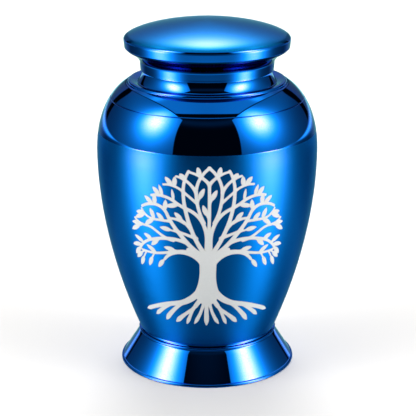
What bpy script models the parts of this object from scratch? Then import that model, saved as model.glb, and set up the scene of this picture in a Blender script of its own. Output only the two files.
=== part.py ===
"""Cremation urn: a spun metal vessel on a flared foot, closed by a domed lid that lifts off.

Metres, +Z up, the origin at the centre of the underside. Every piece is a closed shell of
revolution, made from an outline of (radius, height) points turned about the Z axis.
"""

import math

import bmesh
import bpy

# Facets round every piece, and the straight pieces that stand for each curve
SIDES = 48
DOME_STEPS = 7
LID_HOLLOW_STEPS = 5
SHOULDER_STEPS = 11
BODY_STEPS = 9
INNER_SHOULDER_STEPS = 7
INNER_BODY_STEPS = 8
SMALL_CURVE_STEPS = 4

# Gaps: between faces that rest on each other, and round the lid's spigot, on the radius
SEAT_GAP = 0.0003
SPIGOT_CLEARANCE = 0.0005

# Body, from its flat bottom up to its widest part
BODY_RADIUS = 0.0819
BODY_WIDEST_HEIGHT = 0.1377
BODY_END_RADIUS = 0.0518
BODY_END_ANGLE = math.radians(22.7)
BODY_END_REACH = 0.0102
BODY_FULLNESS = 0.0678
BOTTOM_EDGE = 0.0006
VESSEL_WALL = 0.0015
VESSEL_FLOOR = 0.0020
FLOOR_FILLET = 0.0022

# Neck: a rim that the lid rests on, a hollow cove, and a raised ring round its root
NECK_RADIUS = 0.0470
NECK_WALL = 0.0030
NECK_HEIGHT = 0.0089
NECK_COVE_WIDTH = 0.0043
NECK_COVE_STRAIGHT = 0.0030
NECK_COVE_FLARE = 0.0006
NECK_RING_WIDTH = 0.0071
NECK_RING_LIFT = 0.0006
NECK_RING_RISE = 0.0021
NECK_RING_CROWN = 0.0034
NECK_RING_THICKNESS = 0.0026
NECK_CREASE_WIDTH = 0.0012
NECK_CREASE_DEPTH = 0.0006

# Shoulder, from the neck's ring out to the body, with one fine turned groove
SHOULDER_HEIGHT = 0.1887
SHOULDER_ANGLE = math.radians(27.7)
SHOULDER_REACH = 0.0087
SHOULDER_FULLNESS = 0.0323
GROOVE_DROP = 0.0112
GROOVE_WIDTH = 0.0008
GROOVE_DEPTH = 0.0004

# Foot: a flared ring with a bead at its top, open underneath
FOOT_HEIGHT = 0.0275
FOOT_BASE_RADIUS = 0.0661
FOOT_LIP_HEIGHT = 0.0024
FOOT_LIP_STEP = 0.0017
FOOT_LIP_ROUND = 0.0008
FOOT_RING_WIDTH = 0.0040
FOOT_CONE_TOP_DROP = 0.0054
FOOT_CONE_TOP_STEP = 0.0001
FOOT_BEAD_RADIUS = 0.0012
FOOT_BEAD_DROP = 0.0029
FOOT_BEAD_OVERHANG = 0.0004
FOOT_BEAD_SPAN = 80
FOOT_GROOVE_DEPTH = 0.0005
FOOT_SEAT_SETBACK = 0.0016
FOOT_SEAT_BORE = 0.0400
FOOT_SEAT_THICKNESS = 0.0020
FOOT_WALL = 0.0018

# Lid: collar, cove, rim band and dome, hollow inside, with a spigot that drops into the neck
LID_COLLAR_HEIGHT = 0.0068
LID_COLLAR_OVERHANG = 0.0020
LID_COLLAR_FLARE = 0.0005
LID_COLLAR_EDGE = 0.0004
LID_COVE_HEIGHT = 0.0094
LID_COVE_DROP = 0.0024
LID_COVE_SWEEP = 0.0033
LID_COVE_STRAIGHT = 0.0066
LID_RIM_HEIGHT = 0.0064
LID_RIM_RADIUS = 0.0612
LID_RIM_TAPER = 0.0006
LID_RIM_ROUND = 0.0008
LID_DOME_HEIGHT = 0.0133
LID_DOME_LEVEL = 0.0330
LID_DOME_TURN = 0.0050
LID_WALL = 0.0020
LID_SPIGOT_LENGTH = 0.0120
LID_SPIGOT_WALL = 0.0015

# Places that the pieces share
VESSEL_BOTTOM = FOOT_HEIGHT + SEAT_GAP
SHOULDER_TOP = VESSEL_BOTTOM + SHOULDER_HEIGHT
VESSEL_TOP = SHOULDER_TOP + NECK_HEIGHT
LID_BOTTOM = VESSEL_TOP + SEAT_GAP
NECK_BORE = NECK_RADIUS - NECK_WALL
NECK_RING_FOOT = NECK_RADIUS + NECK_COVE_WIDTH + NECK_RING_WIDTH
SHOULDER_RADIUS = NECK_RING_FOOT + NECK_CREASE_WIDTH


def bezier(start, pull_start, pull_end, end, steps):
    """Points along a cubic curve that leaves start towards pull_start and meets end from pull_end."""
    points = []
    for i in range(steps + 1):
        t = i / steps
        s = 1 - t
        weights = (s**3, 3 * s * s * t, 3 * s * t * t, t**3)
        corners = (start, pull_start, pull_end, end)
        points.append(tuple(sum(w * p[k] for w, p in zip(weights, corners)) for k in (0, 1)))
    return points


def arc(centre, radius, first, last, steps):
    """Points of a circular arc, from one angle to another, in degrees from the outward radius."""
    angles = [math.radians(first + (last - first) * i / steps) for i in range(steps + 1)]
    return [(centre[0] + radius * math.cos(a), centre[1] + radius * math.sin(a)) for a in angles]


def inset(points, wall):
    """The same line moved inward by a wall's thickness, square to the line at each point."""
    moved = []
    for i, (radius, height) in enumerate(points):
        before = points[max(i - 1, 0)]
        after = points[min(i + 1, len(points) - 1)]
        along = (after[0] - before[0], after[1] - before[1])
        length = math.hypot(*along)
        moved.append((radius + wall * along[1] / length, height - wall * along[0] / length))
    return moved


def between(points, low, high):
    """The part of a falling line that lies between two heights, with its ends cut there."""
    kept = {point for point in points if low < point[1] < high}
    for (r0, z0), (r1, z1) in zip(points, points[1:]):
        for cut in (low, high):
            if z1 < cut < z0:
                kept.add((r0 + (r1 - r0) * (z0 - cut) / (z0 - z1), cut))
    return sorted(kept, key=lambda point: -point[1])


def shoulder_line(steps):
    """Outer line of the shoulder, from the neck's crease down to the widest part of the body."""
    start = (SHOULDER_RADIUS, SHOULDER_TOP)
    leave = (
        start[0] + SHOULDER_REACH * math.cos(SHOULDER_ANGLE),
        start[1] - SHOULDER_REACH * math.sin(SHOULDER_ANGLE),
    )
    end = (BODY_RADIUS, VESSEL_BOTTOM + BODY_WIDEST_HEIGHT)
    return bezier(start, leave, (end[0], end[1] + SHOULDER_FULLNESS), end, steps)


def body_line(steps):
    """Outer line of the body, from its widest part down to its bottom edge."""
    start = (BODY_RADIUS, VESSEL_BOTTOM + BODY_WIDEST_HEIGHT)
    end = (BODY_END_RADIUS, VESSEL_BOTTOM + BOTTOM_EDGE)
    meet = (
        end[0] + BODY_END_REACH * math.sin(BODY_END_ANGLE),
        end[1] + BODY_END_REACH * math.cos(BODY_END_ANGLE),
    )
    return bezier(start, (start[0], start[1] - BODY_FULLNESS), meet, end, steps)


def neck_line():
    """Outer line of the neck: rim, hollow cove, raised ring, and the crease outside the ring."""
    cove_root = (NECK_RADIUS + NECK_COVE_WIDTH, SHOULDER_TOP + NECK_RING_LIFT)
    ring_foot = (NECK_RING_FOOT, SHOULDER_TOP)
    cove = bezier(
        (NECK_RADIUS, VESSEL_TOP),
        (NECK_RADIUS, VESSEL_TOP - NECK_COVE_STRAIGHT),
        (cove_root[0] - NECK_COVE_FLARE, cove_root[1]),
        cove_root,
        SMALL_CURVE_STEPS,
    )
    ring = bezier(
        cove_root,
        (cove_root[0] + NECK_RING_RISE, cove_root[1] + NECK_RING_LIFT),
        (ring_foot[0], ring_foot[1] + NECK_RING_CROWN),
        ring_foot,
        SMALL_CURVE_STEPS,
    )
    crease = (NECK_RING_FOOT + NECK_CREASE_WIDTH / 2, SHOULDER_TOP - NECK_CREASE_DEPTH)
    return cove + ring[1:] + [crease]


def vessel_outline():
    """Outer line from the rim down to the centre of the bottom, then the inner line back up."""
    shoulder = shoulder_line(SHOULDER_STEPS)
    groove = SHOULDER_TOP - GROOVE_DROP
    above = between(shoulder, groove + GROOVE_WIDTH / 2, VESSEL_TOP)
    below = between(shoulder, VESSEL_BOTTOM, groove - GROOVE_WIDTH / 2)
    sunk = inset([above[-1], below[0]], GROOVE_DEPTH)
    groove_root = tuple((a + b) / 2 for a, b in zip(*sunk))
    outer = neck_line() + above + [groove_root] + below + body_line(BODY_STEPS)[1:]
    outer += [(BODY_END_RADIUS - BOTTOM_EDGE, VESSEL_BOTTOM), (0, VESSEL_BOTTOM)]

    floor = VESSEL_BOTTOM + VESSEL_FLOOR
    neck_under = SHOULDER_TOP - NECK_RING_THICKNESS
    line = shoulder_line(INNER_SHOULDER_STEPS) + body_line(INNER_BODY_STEPS)[1:]
    wall = between(inset(line, VESSEL_WALL), floor + FLOOR_FILLET, neck_under)
    corner = (wall[-1][0] - FLOOR_FILLET, floor)
    inner = [(0, floor), corner] + wall[::-1] + [(NECK_BORE, neck_under), (NECK_BORE, VESSEL_TOP)]
    return outer + inner


def foot_outline():
    """Outer line from the seat down to the ground, then the inner line back up to the seat."""
    cone_top = (BODY_END_RADIUS + FOOT_CONE_TOP_STEP, FOOT_HEIGHT - FOOT_CONE_TOP_DROP)
    bead_centre = (
        cone_top[0] + FOOT_BEAD_OVERHANG - FOOT_BEAD_RADIUS,
        FOOT_HEIGHT - FOOT_BEAD_DROP,
    )
    bead = arc(bead_centre, FOOT_BEAD_RADIUS, FOOT_BEAD_SPAN, -FOOT_BEAD_SPAN, SMALL_CURVE_STEPS)
    seat = (BODY_END_RADIUS - FOOT_SEAT_SETBACK, FOOT_HEIGHT)
    cove_middle = ((seat[0] * 3 + bead[0][0]) / 4, (seat[1] + bead[0][1] * 3) / 4)
    groove = (cone_top[0] - FOOT_GROOVE_DEPTH, (bead[-1][1] + cone_top[1]) / 2)
    cone_foot = (FOOT_BASE_RADIUS - FOOT_LIP_STEP, FOOT_LIP_HEIGHT)
    lip = bezier(
        cone_foot,
        (FOOT_BASE_RADIUS, FOOT_LIP_HEIGHT),
        (FOOT_BASE_RADIUS + FOOT_LIP_ROUND / 2, 0),
        (FOOT_BASE_RADIUS - FOOT_LIP_ROUND, 0),
        SMALL_CURVE_STEPS,
    )

    slope = (cone_foot[0] - cone_top[0]) / (cone_top[1] - cone_foot[1])
    inside_foot = cone_foot[0] - FOOT_WALL * math.hypot(1, slope)
    seat_under = FOOT_HEIGHT - FOOT_SEAT_THICKNESS
    ring_inner = FOOT_BASE_RADIUS - FOOT_RING_WIDTH
    ring_top = cone_foot[1] + (inside_foot - ring_inner) / slope
    inner = [
        (ring_inner, 0),
        (ring_inner, ring_top),
        (inside_foot - (seat_under - cone_foot[1]) * slope, seat_under),
        (FOOT_SEAT_BORE, seat_under),
        (FOOT_SEAT_BORE, FOOT_HEIGHT),
    ]
    return [seat, cove_middle] + bead + [groove, cone_top] + lip + inner


def lid_outline():
    """Outer line from the top of the dome down to the spigot's end, then the inner line back."""
    collar_radius = NECK_RADIUS + LID_COLLAR_OVERHANG
    collar_top = (collar_radius + LID_COLLAR_FLARE, LID_BOTTOM + LID_COLLAR_HEIGHT)
    rim_bottom = collar_top[1] + LID_COVE_HEIGHT
    rim_top = rim_bottom + LID_RIM_HEIGHT
    top = rim_top + LID_DOME_HEIGHT
    rim_low = LID_RIM_RADIUS - LID_RIM_TAPER
    cove_start = (rim_low - LID_RIM_ROUND, rim_bottom)

    def dome_line(steps):
        return bezier(
            (0, top),
            (LID_DOME_LEVEL, top),
            (LID_RIM_RADIUS, rim_top + LID_DOME_TURN),
            (LID_RIM_RADIUS, rim_top),
            steps,
        )

    def cove_line(steps):
        return bezier(
            cove_start,
            (cove_start[0] - LID_RIM_TAPER, rim_bottom - LID_COVE_DROP),
            (collar_top[0] + LID_COVE_SWEEP, collar_top[1] + LID_COVE_STRAIGHT),
            collar_top,
            steps,
        )

    spigot = NECK_BORE - SPIGOT_CLEARANCE
    spigot_end = LID_BOTTOM - LID_SPIGOT_LENGTH
    rim = [(rim_low, rim_bottom + LID_RIM_ROUND)]
    outer = dome_line(DOME_STEPS) + rim + cove_line(SMALL_CURVE_STEPS)
    outer += [
        (collar_radius, LID_BOTTOM + LID_COLLAR_EDGE),
        (collar_radius - LID_COLLAR_EDGE, LID_BOTTOM),
        (spigot, LID_BOTTOM),
        (spigot, spigot_end),
    ]

    hollow = inset(dome_line(LID_HOLLOW_STEPS) + cove_line(SMALL_CURVE_STEPS - 1), LID_WALL)
    hollow[0] = (0, top - LID_WALL)
    inner = [
        (spigot - LID_SPIGOT_WALL, spigot_end),
        (spigot - LID_SPIGOT_WALL, LID_BOTTOM + LID_WALL),
        (collar_radius - LID_WALL, LID_BOTTOM + LID_WALL),
    ]
    return outer + inner + hollow[::-1]


def turned(name, outline, material):
    """Turns a closed outline about Z into one solid with its faces pointing out."""
    mesh = bpy.data.meshes.new(name)
    shape = bmesh.new()
    verts = [shape.verts.new((radius, 0, height)) for radius, height in outline]
    edges = [shape.edges.new(pair) for pair in zip(verts, verts[1:])]
    if outline[0][0] > 0 or outline[-1][0] > 0:
        edges.append(shape.edges.new((verts[-1], verts[0])))
    bmesh.ops.spin(
        shape,
        geom=verts + edges,
        cent=(0, 0, 0),
        axis=(0, 0, 1),
        dvec=(0, 0, 0),
        angle=2 * math.pi,
        steps=SIDES,
        use_merge=True,
    )
    bmesh.ops.remove_doubles(shape, verts=shape.verts, dist=1e-6)
    bmesh.ops.recalc_face_normals(shape, faces=shape.faces)
    shape.to_mesh(mesh)
    shape.free()
    mesh.shade_smooth()
    mesh.set_sharp_from_angle(angle=math.radians(28))
    mesh.materials.append(material)
    piece = bpy.data.objects.new(name, mesh)
    bpy.context.scene.collection.objects.link(piece)
    return piece


def metal(name, colour, roughness):
    """A blue lacquer over bright metal."""
    made = bpy.data.materials.new(name)
    made.use_nodes = True
    shader = made.node_tree.nodes["Principled BSDF"]
    shader.inputs["Base Color"].default_value = (*colour, 1)
    shader.inputs["Metallic"].default_value = 1.0
    shader.inputs["Roughness"].default_value = roughness
    return made


for old in list(bpy.data.objects):
    bpy.data.objects.remove(old)

polished_blue = metal("polished_blue", (0.0, 0.21, 0.72), 0.08)
brushed_blue = metal("brushed_blue", (0.0, 0.20, 0.66), 0.32)
satin_blue = metal("satin_blue", (0.0, 0.21, 0.70), 0.24)

turned("foot", foot_outline(), polished_blue)
turned("vessel", vessel_outline(), brushed_blue)
turned("lid", lid_outline(), satin_blue)
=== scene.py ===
"""Looks of a blue metal funeral urn with a silver tree of life etched on its front.

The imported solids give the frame. Every piece here is a finer surface of revolution on the same
sizes, in the same place, with its own lacquered metal, and the tree is a thin plate in the body.
"""

import math

import bpy
import numpy as np
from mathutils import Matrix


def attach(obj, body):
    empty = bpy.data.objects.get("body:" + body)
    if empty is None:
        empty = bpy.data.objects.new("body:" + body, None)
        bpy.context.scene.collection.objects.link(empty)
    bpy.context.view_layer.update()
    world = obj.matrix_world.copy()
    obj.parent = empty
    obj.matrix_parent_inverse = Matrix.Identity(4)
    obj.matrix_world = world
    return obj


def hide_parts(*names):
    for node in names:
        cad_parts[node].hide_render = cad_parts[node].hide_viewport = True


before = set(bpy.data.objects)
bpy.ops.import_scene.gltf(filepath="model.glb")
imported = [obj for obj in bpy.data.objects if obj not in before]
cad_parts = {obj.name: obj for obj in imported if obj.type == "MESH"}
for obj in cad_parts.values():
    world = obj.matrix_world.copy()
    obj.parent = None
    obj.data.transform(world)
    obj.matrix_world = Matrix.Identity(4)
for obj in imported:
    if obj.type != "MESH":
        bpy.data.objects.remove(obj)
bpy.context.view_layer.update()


# Vessel: the body of the urn with its neck, one shell of spun metal, hollow and empty.
# It is lacquered a clear deep blue, brushed round the body and polished on the shoulder and neck,
# with a fine groove turned in the shoulder. Lengths are in metres and are the solids' own.
SEAT_GAP = 0.0003
FOOT_HEIGHT = 0.0275
BODY_RADIUS = 0.0819
BODY_WIDEST_HEIGHT = 0.1377
BODY_END_RADIUS = 0.0518
BODY_END_ANGLE = math.radians(22.7)
BODY_END_REACH = 0.0102
BODY_FULLNESS = 0.0678
BOTTOM_EDGE = 0.0006
VESSEL_WALL = 0.0015
VESSEL_FLOOR = 0.0020
FLOOR_FILLET = 0.0022
NECK_RADIUS = 0.0470
NECK_WALL = 0.0030
NECK_HEIGHT = 0.0089
NECK_COVE_WIDTH = 0.0043
NECK_COVE_STRAIGHT = 0.0030
NECK_COVE_FLARE = 0.0006
NECK_RING_WIDTH = 0.0071
NECK_RING_LIFT = 0.0006
NECK_RING_RISE = 0.0021
NECK_RING_CROWN = 0.0034
NECK_RING_THICKNESS = 0.0026
NECK_CREASE_WIDTH = 0.0012
NECK_CREASE_DEPTH = 0.0006
SHOULDER_HEIGHT = 0.1887
SHOULDER_ANGLE = math.radians(27.7)
SHOULDER_REACH = 0.0087
SHOULDER_FULLNESS = 0.0323
GROOVE_DROP = 0.0112
GROOVE_WIDTH = 0.0008
GROOVE_DEPTH = 0.0004

VESSEL_BOTTOM = FOOT_HEIGHT + SEAT_GAP
BODY_WIDEST = VESSEL_BOTTOM + BODY_WIDEST_HEIGHT
BODY_END = VESSEL_BOTTOM + BOTTOM_EDGE
SHOULDER_TOP = VESSEL_BOTTOM + SHOULDER_HEIGHT
VESSEL_TOP = SHOULDER_TOP + NECK_HEIGHT
NECK_BORE = NECK_RADIUS - NECK_WALL
NECK_RING_FOOT = NECK_RADIUS + NECK_COVE_WIDTH + NECK_RING_WIDTH
SHOULDER_RADIUS = NECK_RING_FOOT + NECK_CREASE_WIDTH

# the brushing ends at this height, where the brushed face starts a hair deeper under a narrow slope
BRUSHED_TOP = 0.1807
BRUSHED_SINK = 0.00006
BRUSHED_SLOPE = 0.0004

# how finely the surfaces are divided, and the bend in degrees past which an edge shows as sharp
SIDES = 288
SHOULDER_STEPS = 90
BODY_STEPS = 110
NECK_STEPS = 20
FILLET_STEPS = 6
WALL_EVERY = 3
SHARP_BEND = 24
ON_AXIS = 1e-7


def bezier(start, pull_start, pull_end, end, steps):
    """Points along a cubic curve: each corner's share is 1, 3, 3, 1 times the powers of t and 1 - t."""
    t = np.linspace(0, 1, steps + 1)[:, None]
    s = 1 - t
    a, b, c, d = [np.array(corner, float) for corner in (start, pull_start, pull_end, end)]
    return s**3 * a + 3 * s * s * t * b + 3 * s * t * t * c + t**3 * d


def arc(centre, radius, first, last, steps):
    """Points of a circular arc, from one angle to another, in degrees from the outward radius."""
    a = np.radians(np.linspace(first, last, steps + 1))
    return np.stack([centre[0] + radius * np.cos(a), centre[1] + radius * np.sin(a)], axis=1)


def inset(line, wall):
    """The line moved inward by the wall, square to the line's direction at each point."""
    before = np.vstack([line[:1], line[:-1]])
    after = np.vstack([line[1:], line[-1:]])
    along = after - before
    along /= np.hypot(along[:, 0], along[:, 1])[:, None]
    return line + wall * np.stack([along[:, 1], -along[:, 0]], axis=1)


def between(line, low, high):
    """The part of a falling line from the height high down to low, with its ends cut there."""
    rising = line[::-1]
    cut = [(np.interp(z, rising[:, 1], rising[:, 0]), z) for z in (high, low)]
    inside = line[(line[:, 1] < high) & (line[:, 1] > low)]
    return np.vstack([cut[:1], inside, cut[1:]])


def piece_of(name, corners, faces, sharp_bend):
    """A piece whose mesh lies in its own place, smooth but at edges that bend by more degrees."""
    mesh = bpy.data.meshes.new(name)
    mesh.from_pydata(corners.tolist(), [], faces)
    mesh.update()
    mesh.shade_smooth()
    mesh.set_sharp_from_angle(angle=math.radians(sharp_bend))
    piece = bpy.data.objects.new(name, mesh)
    bpy.context.scene.collection.objects.link(piece)
    return piece


def turned(name, outline, materials, pick=None):
    """An outline of (radius, height) points turned about Z.

    Corner (i, j) is the outline's point i at the angle 2 pi j / SIDES: radius times the cosine,
    radius times the sine, and height. A point on the axis is one corner, closed by a fan of
    triangles. pick gives each band of faces, by its number and its mean radius and height, the
    number of its material.
    """
    outline = np.asarray(outline, float)
    turn = np.linspace(0, 2 * np.pi, SIDES, endpoint=False)
    radius, height = outline[:, :1], outline[:, 1:]
    grid = np.stack([radius * np.cos(turn), radius * np.sin(turn), height + 0 * turn], axis=2)
    pole = outline[:, 0] < ON_AXIS
    kept = np.ones(grid.shape[:2], bool)
    kept[pole, 1:] = False
    number = kept.ravel().cumsum().reshape(kept.shape) - 1
    below = np.roll(number, -1, axis=0)
    quads = np.stack([number, below, np.roll(below, -1, axis=1), np.roll(number, -1, axis=1)], axis=2)
    middle = (outline + np.roll(outline, -1, axis=0)) / 2
    faces, numbers = [], []
    for i, (top, low) in enumerate(zip(pole, np.roll(pole, -1))):
        if top and low:
            continue
        shape = [0, 1, 2] if top else [0, 1, 3] if low else [0, 1, 2, 3]
        faces.extend(quads[i][:, shape].tolist())
        numbers.extend([pick(i, *middle[i]) if pick else 0] * SIDES)
    piece = piece_of(name, grid[kept], faces, SHARP_BEND)
    for material in materials:
        piece.data.materials.append(material)
    piece.data.polygons.foreach_set("material_index", np.array(numbers, dtype=np.int32))
    return piece


shoulder = bezier(
    (SHOULDER_RADIUS, SHOULDER_TOP),
    (
        SHOULDER_RADIUS + SHOULDER_REACH * math.cos(SHOULDER_ANGLE),
        SHOULDER_TOP - SHOULDER_REACH * math.sin(SHOULDER_ANGLE),
    ),
    (BODY_RADIUS, BODY_WIDEST + SHOULDER_FULLNESS),
    (BODY_RADIUS, BODY_WIDEST),
    SHOULDER_STEPS,
)
body = bezier(
    (BODY_RADIUS, BODY_WIDEST),
    (BODY_RADIUS, BODY_WIDEST - BODY_FULLNESS),
    (
        BODY_END_RADIUS + BODY_END_REACH * math.sin(BODY_END_ANGLE),
        BODY_END + BODY_END_REACH * math.cos(BODY_END_ANGLE),
    ),
    (BODY_END_RADIUS, BODY_END),
    BODY_STEPS,
)
side = np.vstack([shoulder, body[1:]])
side_rising = side[::-1]


def vessel_outline():
    """Outer line from the rim down to the centre of the bottom, then the inner line back up."""
    cove_root = (NECK_RADIUS + NECK_COVE_WIDTH, SHOULDER_TOP + NECK_RING_LIFT)
    cove = bezier(
        (NECK_RADIUS, VESSEL_TOP),
        (NECK_RADIUS, VESSEL_TOP - NECK_COVE_STRAIGHT),
        (cove_root[0] - NECK_COVE_FLARE, cove_root[1]),
        cove_root,
        NECK_STEPS,
    )
    ring = bezier(
        cove_root,
        (cove_root[0] + NECK_RING_RISE, cove_root[1] + NECK_RING_LIFT),
        (NECK_RING_FOOT, SHOULDER_TOP + NECK_RING_CROWN),
        (NECK_RING_FOOT, SHOULDER_TOP),
        NECK_STEPS,
    )
    crease = [(NECK_RING_FOOT + NECK_CREASE_WIDTH / 2, SHOULDER_TOP - NECK_CREASE_DEPTH)]
    groove = SHOULDER_TOP - GROOVE_DROP
    above = between(side, groove + GROOVE_WIDTH / 2, SHOULDER_TOP)
    below = between(side, BRUSHED_TOP, groove - GROOVE_WIDTH / 2)
    root = inset(np.array([above[-1], below[0]]), GROOVE_DEPTH).mean(axis=0)
    brushed_part = between(side, BODY_END, BRUSHED_TOP - BRUSHED_SLOPE)
    brushed_part = brushed_part - np.array([BRUSHED_SINK, 0])
    outer = np.vstack([cove, ring[1:], crease, above, [root], below, brushed_part])
    bottom = [(BODY_END_RADIUS - BOTTOM_EDGE, VESSEL_BOTTOM), (0, VESSEL_BOTTOM)]

    floor = VESSEL_BOTTOM + VESSEL_FLOOR
    neck_under = SHOULDER_TOP - NECK_RING_THICKNESS
    wall = between(inset(side[::WALL_EVERY], VESSEL_WALL), floor + FLOOR_FILLET, neck_under)
    fillet_centre = (wall[-1][0] - FLOOR_FILLET, floor + FLOOR_FILLET)
    corner = arc(fillet_centre, FLOOR_FILLET, -90, 0, FILLET_STEPS)
    mouth = [(NECK_BORE, neck_under), (NECK_BORE, VESSEL_TOP)]
    return np.vstack([outer, bottom, [(0, floor)], corner[:-1], wall[::-1], mouth])


POLISHED, BRUSHED = 0, 1


def vessel_finish(number, radius, height):
    """Brushed on the outside below the line where the brushing ends, and polished elsewhere."""
    outside = radius > np.interp(height, side_rising[:, 1], side_rising[:, 0]) - VESSEL_WALL / 2
    return BRUSHED if outside and BODY_END < height < BRUSHED_TOP else POLISHED


def node(tree, kind, at, **values):
    """A shader node, its place on the sheet, and the values of its properties and sockets."""
    made = tree.nodes.new(kind)
    made.location = at
    for key, value in values.items():
        if hasattr(made, key):
            setattr(made, key, value)
        else:
            made.inputs[key.replace("_", " ")].default_value = value
    return made


def shader_of(material):
    """The shader that a new material starts with."""
    material.use_nodes = True
    return material.node_tree.nodes["Principled BSDF"]


def lacquer(name, colour, edge, roughness, coat, coat_roughness):
    """Bright metal seen through a blue lacquer, with a share of clear top layer, the coat.

    edge is how bright the metal stays at a low angle, and the lacquer keeps it a little blue there.
    """
    made = bpy.data.materials.new(name)
    shader = shader_of(made)
    shader.inputs["Base Color"].default_value = colour
    shader.inputs["Specular Tint"].default_value = (edge * 0.3, edge + 0.05, edge + 0.13, 1)
    shader.inputs["Metallic"].default_value = 1.0
    shader.inputs["Roughness"].default_value = roughness
    shader.inputs["Coat Weight"].default_value = coat
    shader.inputs["Coat Roughness"].default_value = coat_roughness
    return made


MARK_CONTRAST = (0.3, 0.7)
MARK_DEPTH = 0.00002


def turning_marks(material, fine, along, low, high, bump=0):
    """Fine lines that run round the piece: noise squeezed hard in height and long round the axis.

    low and high are the roughness in the smoothest and the roughest line.
    """
    tree = material.node_tree
    shader = shader_of(material)
    place = node(tree, "ShaderNodeTexCoord", (-1100, 0))
    squeeze = node(tree, "ShaderNodeMapping", (-900, 0), Scale=(along, along, fine))
    noise = node(tree, "ShaderNodeTexNoise", (-700, 0), Scale=1.0, Detail=4.0)
    spread = node(tree, "ShaderNodeMapRange", (-450, -100), From_Min=MARK_CONTRAST[0],
                  From_Max=MARK_CONTRAST[1], To_Min=low, To_Max=high)
    tree.links.new(place.outputs["Object"], squeeze.inputs["Vector"])
    tree.links.new(squeeze.outputs["Vector"], noise.inputs["Vector"])
    tree.links.new(noise.outputs["Fac"], spread.inputs["Value"])
    tree.links.new(spread.outputs["Result"], shader.inputs["Roughness"])
    if bump:
        raised = node(tree, "ShaderNodeBump", (-450, -400), Strength=bump, Distance=MARK_DEPTH)
        tree.links.new(noise.outputs["Fac"], raised.inputs["Height"])
        tree.links.new(raised.outputs["Normal"], shader.inputs["Normal"])


def drawn_out(material, amount):
    """Highlights drawn out across the turning marks, by a quarter turn of the shader's grain."""
    shader = shader_of(material)
    shader.inputs["Anisotropic"].default_value = amount
    shader.inputs["Anisotropic Rotation"].default_value = 0.25


DEEP_BLUE = (0.0007, 0.120, 0.56, 1)
SOFT_BLUE = (0.0007, 0.140, 0.510, 1)

polished = lacquer("polished_blue_lacquer", DEEP_BLUE, edge=0.22, roughness=0.03,
                   coat=0.28, coat_roughness=0.02)
turning_marks(polished, fine=900, along=12, low=0.02, high=0.04)

brushed = lacquer("brushed_blue_lacquer", SOFT_BLUE, edge=0.33, roughness=0.34,
                  coat=0.12, coat_roughness=0.25)
turning_marks(brushed, fine=4200, along=16, low=0.30, high=0.40, bump=0.12)
drawn_out(brushed, 0.75)

vessel = turned("urn_vessel", vessel_outline(), [polished, brushed], vessel_finish)
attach(vessel, "root")
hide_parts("vessel")


# Tree of life: a drawing etched on the front of the body, bare silvery metal with a fine grain.
# It is drawn flat, in millimetres along the body's widest circle and up from the ground, and then
# wrapped round the body. One half grows by the rules below and the other half mirrors it.
MM = 0.001
TREE_CELL = 0.45
TREE_DEPTH = 0.12
TREE_WIDE = 67.0
TREE_LOW, TREE_HIGH = 44.0, 177.5
TREE_LEAN = ((60, 92, 138), (-0.7, 0.5, 1.6))
LEFT_WIDER = ((92, 112), (1.0, 1.03))
STEP = 0.6
LIMB = 2.7
TWIG = 2.1
STALK = 1.5
LEAF_WIDTH = 3.6
LEAF_BLADE = 9.0
LEAF_CURL = 8
LEAF_SWELL = 0.9
LEAF_BLUNT = 0.75
LEAF_POINT = 0.12
STALK_SHARE = 0.75
ROOT = 3.0
ROOT_TIP = 4.5
ROOT_BLUNT = 0.6
ROOT_SHARES = (0, 0.4, 0.8, 1)
WAIST = 13.3
TRUNK_LOW, TRUNK_WAIST, TRUNK_HIGH = 75.0, 93.0, 103.0
TRUNK_SPREAD = 3.4
STROKE_FILLET = 0.22
STROKE_REACH = 3.0
FAR_OFF = 50.0
FIELD_LIMIT = 8.0
CUT_NEAREST = 0.02
ETCHED_BEND = 40


def grow(start, heading, *legs):
    """A line that starts at a point and turns by each leg's degrees, evenly over its length.

    The heading is measured clockwise from straight up. Returns the points and the headings.
    """
    points, headings = [np.array(start, float)], [heading]
    for turn, length in legs:
        count = max(4, int(length / STEP))
        for i in range(count):
            middle = math.radians(heading + turn / count / 2)
            heading += turn / count
            ahead = length / count * np.array([math.sin(middle), math.cos(middle)])
            points.append(points[-1] + ahead)
            headings.append(heading)
    return np.array(points), np.array(headings)


strokes = []


def limb(start, heading, *legs, first=LIMB, last=TWIG, leaves=()):
    """A stroke of the crown whose width goes evenly from first to last, and its leaves.

    Each leaf is (share of the way along, angle to the stroke, length, and perhaps its width).
    """
    points, headings = grow(start, heading, *legs)
    strokes.append((points, np.linspace(first, last, len(points)) / 2))
    for share, turn, *size in leaves:
        at = int(round(share * (len(points) - 1)))
        leaf(points[at], headings[at] + turn, *size)


def leaf(start, heading, length, width=LEAF_WIDTH):
    """An almond on a short stalk, slightly curled.

    Half its width is the sine of pi times the share of the way along the blade, where the share is
    raised to LEAF_SWELL and the sine to LEAF_BLUNT.
    """
    points, _ = grow(start, heading - LEAF_CURL / 2, (LEAF_CURL, length))
    share = np.linspace(0, 1, len(points))
    blade = min(length, LEAF_BLADE) / length
    along = np.clip((share - (1 - blade)) / blade, 0, 1)
    half = width / 2 * np.sin(np.pi * along**LEAF_SWELL) ** LEAF_BLUNT
    strokes.append((points, np.maximum(half, np.where(share < STALK_SHARE, STALK / 2, LEAF_POINT))))


def root(start, heading, *legs, first=ROOT, middle=ROOT, swell=4.0):
    """A root that narrows, swells a little before its end and closes in a rounded point."""
    points, _ = grow(start, heading, *legs)
    share = np.linspace(0, 1, len(points))
    half = np.interp(share, ROOT_SHARES, (first, middle, swell, swell)) / 2
    left = (1 - share) * STEP * len(points)
    strokes.append((points, half * np.clip((left / ROOT_TIP) ** ROOT_BLUNT, LEAF_POINT, 1)))


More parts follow.
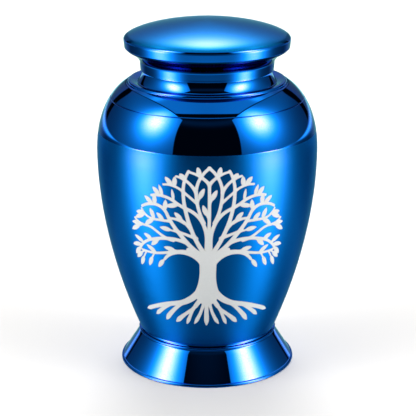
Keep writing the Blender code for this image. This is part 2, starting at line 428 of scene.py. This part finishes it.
def half_crown():
    """The limbs and leaves of the right half of the crown, from the top of the trunk to the rim."""
    limb((1.4, 112), 2, (-5, 4), (28, 16), (42, 15.5), (-13, 10), (52, 18.5), first=3.2,
         leaves=((0.65, 41, 10), (0.73, -50, 9, 2.4), (0.86, -64, 8.5, 2.8), (0.90, -48, 7.5)))
    limb((3.6, 132), 27, (-25, 22), (-55, 22.4), first=2.5, last=2.3)
    limb((9.2, 154.6), 22, (56, 18.5), last=1.7)
    limb((0, 160.5), 35, (43, 16.5), last=1.7, leaves=((0.56, -46, 6.5),))
    limb((2.6, 107.5), 36, (-14, 18), (-10, 17.5), (-12, 15.5), (-29, 15.4), first=3.6, last=2.1,
         leaves=((0.90, 57, 5.5),))
    limb((8.8, 120), 71, (-1, 17), last=1.8)
    limb((9, 147), 46, (6, 13.8), (48, 13.5), first=2.2, last=1.7,
         leaves=((0.72, -74, 7), (0.78, -38, 7.5)))
    limb((4.8, 106.4), 56, (-17, 16.2), (-2, 12), (-14, 12.5), (65, 11.5), (36, 11), first=3.8,
         leaves=((0.39, 42, 14.5), (0.69, -48, 8), (0.83, -86, 7.5), (0.86, -44, 8)))
    limb((13.3, 127.4), 39, (15, 10.8), last=1.7, leaves=((0.80, -7, 8),))
    limb((17.6, 131.6), 58, (38, 12), last=1.7)
    limb((27.4, 132), 90, (-2, 13.6), (-64, 12), first=2.2, last=1.7,
         leaves=((0.21, -45, 7.5), (0.49, -68, 8.5), (0.50, 36, 9.5), (0.82, 65, 10), (0.86, 49, 7)))
    limb((26, 117.2), 82, (-24, 9.5), (-2, 6.5), (34, 8), (-46, 10.5), first=2.5, last=1.7,
         leaves=((0.78, 14, 9.5), (0.76, 40, 12.5)))
    limb((15.5, 115.8), 66, (26, 14), (15, 14), (40, 17), first=3.0, last=2.0,
         leaves=((0.47, 30, 10.5), (0.64, -46, 7.5), (0.83, -66, 9.5), (0.88, -34, 10),
                 (0.97, -10, 8.5)))
    limb((4.6, 101.2), 38, (50, 17), (54, 17), first=5.4, last=2.2,
         leaves=((0.58, -18, 12.5), (0.98, -2, 11)))
    limb((4, 103.5), 50, (12, 13.5), first=8.0, last=2.6)
    limb((25, 108.8), 106, (-8, 15.5), (-20, 14), first=2.4, last=1.8,
         leaves=((0.55, -40, 9.5), (0.60, 53, 13.5), (0.86, 62, 15), (0.91, 46, 12)))


def half_roots():
    """The roots of the right half, from the foot of the trunk out along the ground."""
    root((7.5, 75.7), 138, (-39, 22), (8, 19), (5, 20.3), first=6.0, middle=4.0, swell=3.4)
    root((32, 64.8), 119, (5, 25), middle=2.8, swell=3.6)
    root((15.5, 70), 120, (17, 34), middle=3.0, swell=4.2)
    root((4.8, 71), 145, (-7, 13), first=4.2, middle=4.0, swell=4.0)
    root((12, 61.5), 121, (7, 23), middle=3.0, swell=4.2)
    root((12.2, 62), 155, (-7, 16.5), middle=2.8, swell=3.8)
    root((2.4, 68), 169, (-31, 22.5), middle=2.8, swell=3.6)


def tree_strokes():
    """Both halves, the trunk, the middle stem and root, and the few leaves that have no mirror."""
    half_crown()
    half_roots()
    halves = list(strokes)
    strokes.clear()
    heights = np.linspace(TRUNK_HIGH, TRUNK_LOW, 50)
    away = np.abs(heights - TRUNK_WAIST)
    half = WAIST / 2 + TRUNK_SPREAD * (away / (TRUNK_WAIST - TRUNK_LOW)) ** 2 * (heights < TRUNK_WAIST)
    strokes.append((np.stack([0 * heights, heights], axis=1), half))
    limb((0, 105), 0, (0, 20), first=5.5, last=3.2)
    limb((0, 108), 0, (0, 53), first=2.6, last=2.4)
    leaf((0, 145.5), 26, 12.5)
    leaf((0, 134), -22, 12.5)
    leaf((-8.4, 147), 24, 12.0)
    root((0, 78), 180, (0, 31), first=8.0, middle=3.4, swell=4.8)
    return halves, list(strokes)


def distance_field(across, up):
    """Signed distance, in millimetres, from the tree's outline: negative inside a stroke.

    Each stroke is a chain of round-ended pieces, and its distance is the least of theirs. Strokes
    join with a small fillet: minus the fillet times the log of the sum, over the strokes, of e to
    the power of minus the distance over the fillet.
    """
    total = np.zeros((len(up), len(across)))
    halves, whole = tree_strokes()
    drawn = [(points, half, hand) for points, half in halves for hand in (1, -1)]
    drawn += [(points, half, 1) for points, half in whole]
    for points, half, hand in drawn:
        wider = np.interp(points[:, 1], *LEFT_WIDER) if hand < 0 else 1
        lean = np.interp(points[:, 1], *TREE_LEAN)
        line = np.stack([points[:, 0] * hand * wider + lean, points[:, 1]], axis=1)
        margin = STROKE_REACH + half.max()
        low, high = line.min(axis=0) - margin, line.max(axis=0) + margin
        i = np.searchsorted(across, (low[0], high[0]))
        k = np.searchsorted(up, (low[1], high[1]))
        gx, gy = np.meshgrid(across[i[0]:i[1]], up[k[0]:k[1]])
        least = np.full(gx.shape, FAR_OFF)
        for a, b, ra, rb in zip(line, line[1:], half, half[1:]):
            ab = b - a
            t = ((gx - a[0]) * ab[0] + (gy - a[1]) * ab[1]) / max(ab @ ab, 1e-9)
            t = np.clip(t, 0, 1)
            far = np.hypot(gx - a[0] - t * ab[0], gy - a[1] - t * ab[1])
            least = np.minimum(least, far - (ra + (rb - ra) * t))
        least = np.clip(least, -FIELD_LIMIT, FIELD_LIMIT)
        total[k[0]:k[1], i[0]:i[1]] += np.exp(-least / STROKE_FILLET)
    return -STROKE_FILLET * np.log(np.maximum(total, 1e-12))


def numbered(there, first):
    """A number for every place where there is true, counted on from first, and -1 elsewhere."""
    numbers = np.full(there.shape, -1)
    numbers[there] = first + np.arange(there.sum())
    return numbers


def etched_plate():
    """The tree as one thin closed plate: a grid of cells cut along the field's zero line.

    A cut on a cell's edge lies at the share a / (a - b) of the way between its ends, whose
    distances are a and b. The front (x, z) lies at the angle x / BODY_RADIUS round the body, on the
    body's own radius at the height z, and the back lies deeper by the plate's depth.
    """
    across = np.arange(-TREE_WIDE, TREE_WIDE + TREE_CELL / 2, TREE_CELL)
    up = np.arange(TREE_LOW, TREE_HIGH, TREE_CELL)
    field = distance_field(across, up)
    inside = field < 0
    cut_row = inside[:, :-1] != inside[:, 1:]
    cut_column = inside[:-1] != inside[1:]

    def cuts_at(there, right, above):
        k, i = np.nonzero(there)
        a, b = field[k, i], field[k + above, i + right]
        t = np.clip(a / (a - b), CUT_NEAREST, 1 - CUT_NEAREST) * TREE_CELL
        return np.stack([across[i] + t * right, up[k] + t * above], axis=1)

    k, i = np.nonzero(inside)
    flat = np.vstack([np.stack([across[i], up[k]], axis=1),
                      cuts_at(cut_row, 1, 0), cuts_at(cut_column, 0, 1)])
    deep = np.zeros(len(flat))
    deep[:len(k)] = -field[inside]
    point = numbered(inside, 0)
    row = numbered(cut_row, len(k))
    column = numbered(cut_column, len(k) + cut_row.sum())

    # a cell's four corners in turn, and the cut on the edge that follows each of them
    corners = [point[:-1, :-1], point[:-1, 1:], point[1:, 1:], point[1:, :-1]]
    cuts = [row[:-1], column[:, 1:], row[1:], column[:, :-1]]
    faces, rim = [], []
    for case in range(1, 16):
        held = [bool(case >> n & 1) for n in range(4)]
        here = np.all([(corners[n] >= 0) == held[n] for n in range(4)], axis=0)
        around, ends = [], []
        for n in range(4):
            if held[n]:
                around.append(corners[n][here])
            if held[n] != held[(n + 1) % 4]:
                around.append(cuts[n][here])
                ends.append((cuts[n][here], held[n]))
        faces += np.stack(around, axis=1).tolist()
        for (first, leaving), (second, _) in zip(ends, ends[1:] + ends[:1]):
            if leaving:
                rim += np.stack([first, second], axis=1).tolist()

    radius = np.interp(flat[:, 1] * MM, side_rising[:, 1], side_rising[:, 0])
    angle = flat[:, 0] * MM / BODY_RADIUS
    layers = []
    for depth in (0.0, TREE_DEPTH * MM):
        r = radius - depth
        layers.append(np.stack([r * np.sin(angle), -r * np.cos(angle), flat[:, 1] * MM], axis=1))
    count = len(flat)
    backs = [[v + count for v in face[::-1]] for face in faces]
    walls = [[b, a, a + count, b + count] for a, b in rim]
    plate = piece_of("etched_tree", np.vstack(layers), faces + backs + walls, ETCHED_BEND)
    # the distance in from the outline, which the silver material uses for painted shade along the
    # etched edge
    inward = plate.data.attributes.new("edge_distance", "FLOAT", "POINT")
    inward.data.foreach_set("value", np.array([deep, deep], dtype=np.float32).ravel())
    return plate


SILVER = (0.61, 0.63, 0.635, 1)

silver = bpy.data.materials.new("etched_silver_metal")
silver_shader = shader_of(silver)
silver_shader.inputs["Metallic"].default_value = 0.02
silver_shader.inputs["Specular IOR Level"].default_value = 0.05
silver_tree = silver.node_tree
# the etched edge is darker, painted shade along the outline for the etched step, and the face has the
# fine grain of blasted metal
inward = node(silver_tree, "ShaderNodeAttribute", (-1100, 200), attribute_name="edge_distance")
edge = node(silver_tree, "ShaderNodeMapRange", (-900, 200), To_Min=0.62, To_Max=1.0, From_Max=0.35)
place = node(silver_tree, "ShaderNodeTexCoord", (-1100, -200))
grain = node(silver_tree, "ShaderNodeTexNoise", (-900, -200), Scale=900.0, Detail=3.0)
speck = node(silver_tree, "ShaderNodeMapRange", (-700, -100), To_Min=0.95, To_Max=1.05)
shade = node(silver_tree, "ShaderNodeMath", (-700, 200), operation="MULTIPLY")
tone = node(silver_tree, "ShaderNodeMix", (-450, 200), data_type="RGBA", blend_type="MULTIPLY")
tone.inputs[0].default_value = 1.0
tone.inputs[6].default_value = SILVER
rough = node(silver_tree, "ShaderNodeMapRange", (-450, -150), To_Min=0.42, To_Max=0.58)
raised = node(silver_tree, "ShaderNodeBump", (-450, -400), Strength=0.2, Distance=0.00003)
for out, into in (
    (inward.outputs["Fac"], edge.inputs["Value"]),
    (place.outputs["Object"], grain.inputs["Vector"]),
    (grain.outputs["Fac"], speck.inputs["Value"]),
    (edge.outputs["Result"], shade.inputs[0]),
    (speck.outputs["Result"], shade.inputs[1]),
    (shade.outputs[0], tone.inputs[7]),
    (tone.outputs[2], silver_shader.inputs["Base Color"]),
    (grain.outputs["Fac"], rough.inputs["Value"]),
    (rough.outputs["Result"], silver_shader.inputs["Roughness"]),
    (grain.outputs["Fac"], raised.inputs["Height"]),
    (raised.outputs["Normal"], silver_shader.inputs["Normal"]),
):
    silver_tree.links.new(out, into)

tree = etched_plate()
tree.data.materials.append(silver)
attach(tree, "root")


# Foot: a flared ring of spun metal fixed under the vessel, open underneath.
# It is polished and lacquered blue all over, with a round bead and a small groove at its top and
# a rounded lip where it stands on the ground.
FOOT_BASE_RADIUS = 0.0661
FOOT_LIP_HEIGHT = 0.0024
FOOT_LIP_STEP = 0.0017
FOOT_LIP_ROUND = 0.0008
FOOT_RING_WIDTH = 0.0040
FOOT_CONE_TOP_DROP = 0.0054
FOOT_CONE_TOP_STEP = 0.0001
FOOT_BEAD_RADIUS = 0.0012
FOOT_BEAD_DROP = 0.0029
FOOT_BEAD_OVERHANG = 0.0004
FOOT_BEAD_SPAN = 80
FOOT_GROOVE_DEPTH = 0.0005
FOOT_SEAT_SETBACK = 0.0016
FOOT_SEAT_BORE = 0.0400
FOOT_SEAT_THICKNESS = 0.0020
FOOT_WALL = 0.0018
BEAD_STEPS = 18
SEAT_STEPS = 6
CONE_STEPS = 12
LIP_STEPS = 16


def split(line, pieces):
    """A straight run cut into equal lengths, so that round faces stay near square."""
    t = np.linspace(0, 1, pieces + 1)[:, None]
    return np.array(line[0]) * (1 - t) + np.array(line[1]) * t


def foot_outline():
    """Outer line from the seat down to the ground, then the inner line back up to the seat."""
    cone_top = (BODY_END_RADIUS + FOOT_CONE_TOP_STEP, FOOT_HEIGHT - FOOT_CONE_TOP_DROP)
    bead_centre = (cone_top[0] + FOOT_BEAD_OVERHANG - FOOT_BEAD_RADIUS, FOOT_HEIGHT - FOOT_BEAD_DROP)
    bead = arc(bead_centre, FOOT_BEAD_RADIUS, FOOT_BEAD_SPAN, -FOOT_BEAD_SPAN, BEAD_STEPS)
    seat = (BODY_END_RADIUS - FOOT_SEAT_SETBACK, FOOT_HEIGHT)
    neck_pulls = (seat[0], (seat[1] + bead[0][1]) / 2), (seat[0], bead[0][1])
    neck = bezier(seat, *neck_pulls, bead[0], SEAT_STEPS)
    groove = [(cone_top[0] - FOOT_GROOVE_DEPTH, (bead[-1][1] + cone_top[1]) / 2)]
    cone_foot = (FOOT_BASE_RADIUS - FOOT_LIP_STEP, FOOT_LIP_HEIGHT)
    cone = split((cone_top, cone_foot), CONE_STEPS)
    lip = bezier(
        cone_foot,
        (FOOT_BASE_RADIUS, FOOT_LIP_HEIGHT),
        (FOOT_BASE_RADIUS + FOOT_LIP_ROUND / 2, 0),
        (FOOT_BASE_RADIUS - FOOT_LIP_ROUND, 0),
        LIP_STEPS,
    )
    slope = (cone_foot[0] - cone_top[0]) / (cone_top[1] - cone_foot[1])
    inside_foot = cone_foot[0] - FOOT_WALL * math.hypot(1, slope)
    seat_under = FOOT_HEIGHT - FOOT_SEAT_THICKNESS
    ring_inner = FOOT_BASE_RADIUS - FOOT_RING_WIDTH
    ring_top = cone_foot[1] + (inside_foot - ring_inner) / slope
    inner = [
        (ring_inner, 0),
        (ring_inner, ring_top),
        (inside_foot - (seat_under - cone_foot[1]) * slope, seat_under),
        (FOOT_SEAT_BORE, seat_under),
        (FOOT_SEAT_BORE, FOOT_HEIGHT),
    ]
    return np.vstack([neck, bead[1:], groove, cone, lip[1:], inner])


foot = turned("urn_foot", foot_outline(), [polished])
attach(foot, "root")
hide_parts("foot")


# Lid: a hollow turned dome over a rim, cove and collar, with a plain spigot inside the neck.
# It lifts off. The same blue lacquer is satin on the dome, to a crisp line just inside the rim,
# polished on the rim and collar, and a darker blue in the cove under the rim, which is painted shade.
LID_COLLAR_HEIGHT = 0.0068
LID_COLLAR_OVERHANG = 0.0020
LID_COLLAR_FLARE = 0.0005
LID_COLLAR_EDGE = 0.0004
LID_COVE_HEIGHT = 0.0094
LID_COVE_DROP = 0.0024
LID_COVE_SWEEP = 0.0033
LID_COVE_STRAIGHT = 0.0066
LID_RIM_HEIGHT = 0.0064
LID_RIM_RADIUS = 0.0612
LID_RIM_TAPER = 0.0006
LID_RIM_ROUND = 0.0008
LID_DOME_HEIGHT = 0.0133
LID_DOME_LEVEL = 0.0330
LID_DOME_TURN = 0.0050
LID_WALL = 0.0020
LID_SPIGOT_LENGTH = 0.0120
LID_SPIGOT_WALL = 0.0015
SPIGOT_CLEARANCE = 0.0005
LID_BOTTOM = VESSEL_TOP + SEAT_GAP
LID_SATIN_END = 0.2499

DOME_STEPS = 70
BAND_STEPS = 5
ROUND_STEPS = 8
COVE_STEPS = 30
EDGE_STEPS = 5
DOME_WALL_EVERY = 7
COVE_WALL_EVERY = 10


def lid_outline():
    """Outer line from the top of the dome down to the spigot's end, then the inner line back."""
    collar_radius = NECK_RADIUS + LID_COLLAR_OVERHANG
    collar_top = (collar_radius + LID_COLLAR_FLARE, LID_BOTTOM + LID_COLLAR_HEIGHT)
    rim_bottom = collar_top[1] + LID_COVE_HEIGHT
    rim_top = rim_bottom + LID_RIM_HEIGHT
    top = rim_top + LID_DOME_HEIGHT
    rim_low = LID_RIM_RADIUS - LID_RIM_TAPER
    dome = bezier(
        (0, top),
        (LID_DOME_LEVEL, top),
        (LID_RIM_RADIUS, rim_top + LID_DOME_TURN),
        (LID_RIM_RADIUS, rim_top),
        DOME_STEPS,
    )
    cove_start = (rim_low - LID_RIM_ROUND, rim_bottom)
    rim = bezier(
        (rim_low, rim_bottom + LID_RIM_ROUND),
        (rim_low, rim_bottom + LID_RIM_ROUND / 3),
        (cove_start[0] + LID_RIM_ROUND / 3, rim_bottom),
        cove_start,
        ROUND_STEPS,
    )
    cove = bezier(
        cove_start,
        (cove_start[0] - LID_RIM_TAPER, rim_bottom - LID_COVE_DROP),
        (collar_top[0] + LID_COVE_SWEEP, collar_top[1] + LID_COVE_STRAIGHT),
        collar_top,
        COVE_STEPS,
    )
    collar = bezier(
        (collar_radius, LID_BOTTOM + LID_COLLAR_EDGE),
        (collar_radius, LID_BOTTOM),
        (collar_radius, LID_BOTTOM),
        (collar_radius - LID_COLLAR_EDGE, LID_BOTTOM),
        EDGE_STEPS,
    )
    spigot = NECK_BORE - SPIGOT_CLEARANCE
    spigot_end = LID_BOTTOM - LID_SPIGOT_LENGTH
    band = split((dome[-1], rim[0]), BAND_STEPS)[1:-1]
    run = split((cove[-1], collar[0]), BAND_STEPS)[1:-1]
    foot_of_lid = [(spigot, LID_BOTTOM), (spigot, spigot_end)]
    outer = np.vstack([dome, band, rim, cove[1:], run, collar, foot_of_lid])
    inner = [
        (spigot - LID_SPIGOT_WALL, spigot_end),
        (spigot - LID_SPIGOT_WALL, LID_BOTTOM + LID_WALL),
        (collar_radius - LID_WALL, LID_BOTTOM + LID_WALL),
    ]
    hollow = inset(np.vstack([dome[::DOME_WALL_EVERY], cove[::COVE_WALL_EVERY]]), LID_WALL)
    hollow[0] = (0, top - LID_WALL)
    return np.vstack([outer, inner, hollow[::-1]])


# the cove's own material is painted shade: a darker blue for the dark under the rim
SATIN, PAINTED_SHADE = 1, 2
COVE_FIRST = DOME_STEPS + BAND_STEPS + ROUND_STEPS


def lid_finish(number, radius, height):
    """Satin on the outline's first bands, which are the dome, and a darker blue in the cove, painted
    shade.
    """
    if number < DOME_STEPS and height > LID_SATIN_END:
        return SATIN
    return PAINTED_SHADE if COVE_FIRST <= number < COVE_FIRST + COVE_STEPS else POLISHED


DOME_BLUE = (0.0007, 0.180, 0.500, 1)
# painted shade: the cove's darker blue and its material stand in for the shade under the rim
PAINTED_SHADE_BLUE = (0.0007, 0.100, 0.250, 1)

painted_shade = lacquer("painted_shade_blue_lacquer", PAINTED_SHADE_BLUE, edge=0.12, roughness=0.03,
                 coat=0.2, coat_roughness=0.02)
turning_marks(painted_shade, fine=900, along=12, low=0.02, high=0.04)

satin = lacquer("satin_blue_lacquer", DOME_BLUE, edge=0.2, roughness=0.24,
                coat=0.2, coat_roughness=0.16)
turning_marks(satin, fine=3500, along=16, low=0.225, high=0.255)
drawn_out(satin, 0.3)

lid = turned("urn_lid", lid_outline(), [polished, satin, painted_shade], lid_finish)
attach(lid, "root")
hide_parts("lid")


# Studio: a pale matt floor, the light that comes from each direction, and the camera.
# The sky's brightness is worked out from its direction: soft panels at both sides, a dark front, a
# black arch behind and a paler roof. Area lights, not mirrored, brighten the floor and the tree.
FLOOR_REACH = 30
FLOOR_COLOUR = (0.55, 0.543, 0.53, 1)

floor_corners = [(x * FLOOR_REACH, y * FLOOR_REACH, 0) for x, y in ((-1, -1), (1, -1), (1, 1), (-1, 1))]
floor_mesh = bpy.data.meshes.new("floor")
floor_mesh.from_pydata(floor_corners, [], [(0, 1, 2, 3)])
floor = bpy.data.objects.new("floor", floor_mesh)
bpy.context.scene.collection.objects.link(floor)
floor_paint = bpy.data.materials.new("floor_paint")
floor_shader = shader_of(floor_paint)
floor_shader.inputs["Base Color"].default_value = FLOOR_COLOUR
floor_shader.inputs["Roughness"].default_value = 0.9
floor_shader.inputs["Specular IOR Level"].default_value = 0.0
floor_mesh.materials.append(floor_paint)
floor.visible_glossy = False

# Directions are in degrees: the side angle goes from the front, 0, to the back, 180, on either hand,
# and the rise is the angle above level. A glow is its centre's side angle and rise, its half width
# and half height, and its brightness. A range is where a soft change starts and where it ends.
PANEL_CORE = (67, 35, 17, 17.5, 5.2)
PANEL_WIDE = (68, 30, 30, 30, 1.0)
PANEL_BASE = 0.14
PANEL_LIFT, PANEL_LIFT_RANGE = 0.22, (10, 50)
PANEL_TOP_SIDE, PANEL_TOP_SLOPE, PANEL_TOP_RANGE = 80, 1.57, (-0.5, 0.5)
LOW_PANEL = (68, -3, 17, 21, 6.0)
LOW_TAIL = (72, -30, 22, 200, 0.55)
LOW_BASE = 0.09
LOW_LINE_RISE, LOW_LINE_HEIGHT, LOW_LINE_LIGHT = -27.5, 5, 0.55
GROUND_LIGHT, GROUND_RANGE = 0.12, (45, 62)
BACK_LIGHT, BACK_RANGE = 0.5, (130, 155)
STRIP_SIDE, STRIP_DROP, STRIP_FALL = 110, 2.0, 0.06
STRIP_HEIGHT, STRIP_SPREAD, STRIP_LEAST = 0.5, 0.035, 0.3
STRIP_LIGHT, STRIP_RANGE = 2.6, (95, 135)
STRIP_FADE, STRIP_FADE_RANGE = 1.8, (140, 165)
FRONT_RANGE = (35, 36)
CARD_LIGHT = 0.004
CARD_LINE_RISE, CARD_LINE_HEIGHT, CARD_LINE_LIGHT = 46, 5, 0.035
ARCH, ARCH_LIGHT = (147, 19, 9, 9.5), 0.004
HOLE, HOLE_LIGHT, HOLE_RANGE = (158, 9, 11, 13), 0.28, (158, 163)
ROUND_RANGE = (0.93, 1.07)
SEAM_RISE, SEAM_FALL, SEAM_GAP, SEAM_RANGE = 64, 0.0026, 1.4, (-0.6, 0.6)
ROOF_GLOW = (180, 53, 20, 16, 4.8)
ROOF_SPOT = (128, 55, 14, 5, 1.0)
ROOF_GLOOM = (148, 34, 11, 12, 0.55)
ROOF_BASE = 0.53
ROOF_SIDE_LIGHT, ROOF_SIDE_RANGE = 0.1, (0.0, 0.45)
LEVEL_RANGE = (-1.5, 0)

world = bpy.data.worlds.new("studio")
bpy.context.scene.world = world
world.use_nodes = True
sky = world.node_tree
sky.nodes.clear()


def sky_node(kind):
    """A node of the sky, set down after the last one in rows of twelve."""
    count = len(sky.nodes)
    made = sky.nodes.new(kind)
    made.location = (180 * (count % 12), -220 * (count // 12))
    return made


class Amount:
    """A number that the sky's nodes work out: each sum, difference, product or share adds a node."""

    def __init__(self, socket):
        self.socket = socket

    def __add__(self, other):
        return compute("ADD", self, other)

    def __sub__(self, other):
        return compute("SUBTRACT", self, other)

    def __rsub__(self, other):
        return compute("SUBTRACT", other, self)

    def __mul__(self, other):
        return compute("MULTIPLY", self, other)

    def __truediv__(self, other):
        return compute("DIVIDE", self, other)

    __radd__ = __add__
    __rmul__ = __mul__


def compute(operation, *values):
    """One arithmetic node of the sky, fed by plain numbers or by amounts."""
    made = sky_node("ShaderNodeMath")
    made.operation = operation
    for socket, value in zip(made.inputs, values):
        if isinstance(value, Amount):
            sky.links.new(value.socket, socket)
        else:
            socket.default_value = value
    return Amount(made.outputs[0])


def step(value, span):
    """0 below the span's start and 1 above its end, with a soft slope between them."""
    made = sky_node("ShaderNodeMapRange")
    made.interpolation_type = "SMOOTHSTEP"
    sky.links.new(value.socket, made.inputs["Value"])
    made.inputs["From Min"].default_value, made.inputs["From Max"].default_value = span
    return Amount(made.outputs["Result"])


def mix(share, low, high):
    """low where share is 0 and high where it is 1."""
    return low * (1.0 - share) + high * share


def at_least(value, least):
    """The value, or the least where the value is under it."""
    return compute("MAXIMUM", value, least)


def ridge(distance, width):
    """A soft line: e to the power of minus the square of distance over width."""
    share = distance / width
    return compute("EXPONENT", share * share * -1.0)


def glow(side, rise, half_width, half_height, brightness):
    """A soft spot of light: the product of a ridge in side angle and a ridge in rise."""
    return ridge(side_angle - side, half_width) * ridge(rise_angle - rise, half_height) * brightness


def opening(side, rise, side_round, rise_round):
    """1 at the back, behind the side angle and under the rise, with rounded upper corners."""
    across = at_least(side - side_angle, 0.0) / side_round
    up = at_least(rise_angle - rise, 0.0) / rise_round
    return 1.0 - step(compute("SQRT", across * across + up * up), ROUND_RANGE)


DEGREES = 180 / math.pi

direction = sky_node("ShaderNodeTexCoord")
apart = sky_node("ShaderNodeSeparateXYZ")
sky.links.new(direction.outputs["Generated"], apart.inputs[0])
X, Y, Z = [Amount(socket) for socket in apart.outputs]
aside = compute("ABSOLUTE", X)
side_angle = compute("ARCTAN2", aside, Y * -1.0) * DEGREES
rise_angle = compute("ARCSINE", Z) * DEGREES

# below level: the panels' lower part, a pale line round them, and the floor's bright edge behind
under = glow(*LOW_PANEL) + glow(*LOW_TAIL) + LOW_BASE
under += ridge(rise_angle - LOW_LINE_RISE, LOW_LINE_HEIGHT) * LOW_LINE_LIGHT
under += step(rise_angle * -1.0, GROUND_RANGE) * GROUND_LIGHT
under = mix(step(side_angle, BACK_RANGE), under, BACK_LIGHT)
past = side_angle - STRIP_SIDE
strip_height = at_least(past * STRIP_SPREAD + STRIP_HEIGHT, STRIP_LEAST)
strip = ridge(rise_angle + STRIP_DROP + past * STRIP_FALL, strip_height) * step(side_angle, STRIP_RANGE)
under += strip * (STRIP_LIGHT - step(side_angle, STRIP_FADE_RANGE) * STRIP_FADE)

# above level: the panels, a dark card in front, and a black arch behind round a grey opening
panels = glow(*PANEL_CORE) + glow(*PANEL_WIDE) + PANEL_BASE
panels += step(rise_angle, PANEL_LIFT_RANGE) * PANEL_LIFT
card = ridge(rise_angle - CARD_LINE_RISE, CARD_LINE_HEIGHT) * CARD_LINE_LIGHT + CARD_LIGHT
walls = mix(1.0 - step(side_angle, FRONT_RANGE), panels, card)
walls = mix(opening(*ARCH), walls, ARCH_LIGHT)
walls = mix(at_least(opening(*HOLE), step(side_angle, HOLE_RANGE)), walls, HOLE_LIGHT)

# the panels end where the tangent of the rise is the slope times the cosine of the side angle less
# the panels' own, and over them come a dark seam and the roof
panel_top = compute("COSINE", (side_angle - PANEL_TOP_SIDE) / DEGREES) * PANEL_TOP_SLOPE
panel_top = compute("ARCTANGENT", panel_top) * DEGREES
seam = at_least(SEAM_RISE - side_angle * side_angle * SEAM_FALL, panel_top + SEAM_GAP)
walls = mix(step(rise_angle - panel_top, PANEL_TOP_RANGE), walls, card)
roof = glow(*ROOF_GLOW) + glow(*ROOF_SPOT) + ROOF_BASE
roof += step(aside, ROOF_SIDE_RANGE) * ROOF_SIDE_LIGHT
roof *= 1.0 - glow(*ROOF_GLOOM)
above = mix(step(rise_angle - seam, SEAM_RANGE), walls, roof)
light = mix(step(rise_angle, LEVEL_RANGE), under, above)

# In mirrored light the red share is small for the dim walls and large for the bright lamps, which
# then look white in the blue metal. The camera itself sees plain white behind the urn.
LAMP_LEAST, LAMP_RED, LAMP_RED_MOST = 1.6, 1.8, 50.0
LAMP_SIDE_RANGE, LAMP_RISE_RANGE = (100, 125), (5, 15)
RED_SHARE, BACK_RED, BACK_RED_RANGE = 0.15, 0.35, (130, 160)
SKY_GAIN = 1.5

path = sky_node("ShaderNodeLightPath")
seen = Amount(path.outputs["Is Camera Ray"])
mirrored = Amount(path.outputs["Is Glossy Ray"])
light = mix(seen, light, 1.0)
bright = at_least(light - LAMP_LEAST, 0.0)
bright = compute("MINIMUM", bright * bright * LAMP_RED, LAMP_RED_MOST)
lamps = at_least(1.0 - step(side_angle, LAMP_SIDE_RANGE), step(rise_angle, LAMP_RISE_RANGE))
red_share = step(side_angle, BACK_RED_RANGE) * BACK_RED + RED_SHARE
red = mix(mirrored, light, light * red_share + bright * lamps)
colour = sky_node("ShaderNodeCombineColor")
for socket, amount in zip(colour.inputs, (red, light, light)):
    sky.links.new(amount.socket, socket)
background = sky_node("ShaderNodeBackground")
output = sky_node("ShaderNodeOutputWorld")
sky.links.new(colour.outputs[0], background.inputs["Color"])
sky.links.new(mix(seen, SKY_GAIN, 1.0).socket, background.inputs["Strength"])
sky.links.new(background.outputs[0], output.inputs[0])


def area_light(name, at, toward, width, height, power):
    """A soft panel that lights matt surfaces but isn't itself mirrored in the metal."""
    lamp = bpy.data.lights.new(name, "AREA")
    lamp.shape = "RECTANGLE"
    lamp.size = width
    lamp.size_y = height
    lamp.energy = power
    made = bpy.data.objects.new(name, lamp)
    bpy.context.scene.collection.objects.link(made)
    made.location = at
    aim = np.array(toward, float) - np.array(at, float)
    yaw = math.atan2(aim[0], -aim[1])
    pitch = math.atan2(math.hypot(aim[0], aim[1]), -aim[2])
    made.rotation_euler = (pitch, 0, yaw + math.pi)
    made.visible_glossy = False
    made.visible_camera = False


area_light("overhead_panel", at=(0, 0, 2.4), toward=(0, 0, 0), width=6.0, height=6.0, power=6)
area_light("back_panel", at=(0, 1.5, 1.6), toward=(0, 0, 0.1), width=1.6, height=1.0, power=27)
for hand in (-1, 1):
    area_light("side_panel", at=(hand * 1.3, -0.2, 0.4), toward=(0, 0, 0.12),
               width=0.5, height=0.8, power=5)

CAMERA_PLACE = (0, -1.1146, 0.46507)
CAMERA_TILT = 17.28
FILM_WIDTH = 36
LENS = 134.05
FILM_SHIFT = 0.0019

camera_data = bpy.data.cameras.new("camera")
camera = bpy.data.objects.new("camera", camera_data)
bpy.context.scene.collection.objects.link(camera)
camera.location = CAMERA_PLACE
camera.rotation_euler = (math.radians(90 - CAMERA_TILT), 0, 0)
camera_data.sensor_width = FILM_WIDTH
camera_data.lens = LENS
camera_data.shift_x = FILM_SHIFT
bpy.context.scene.camera = camera
bpy.context.scene.view_settings.view_transform = "Standard"
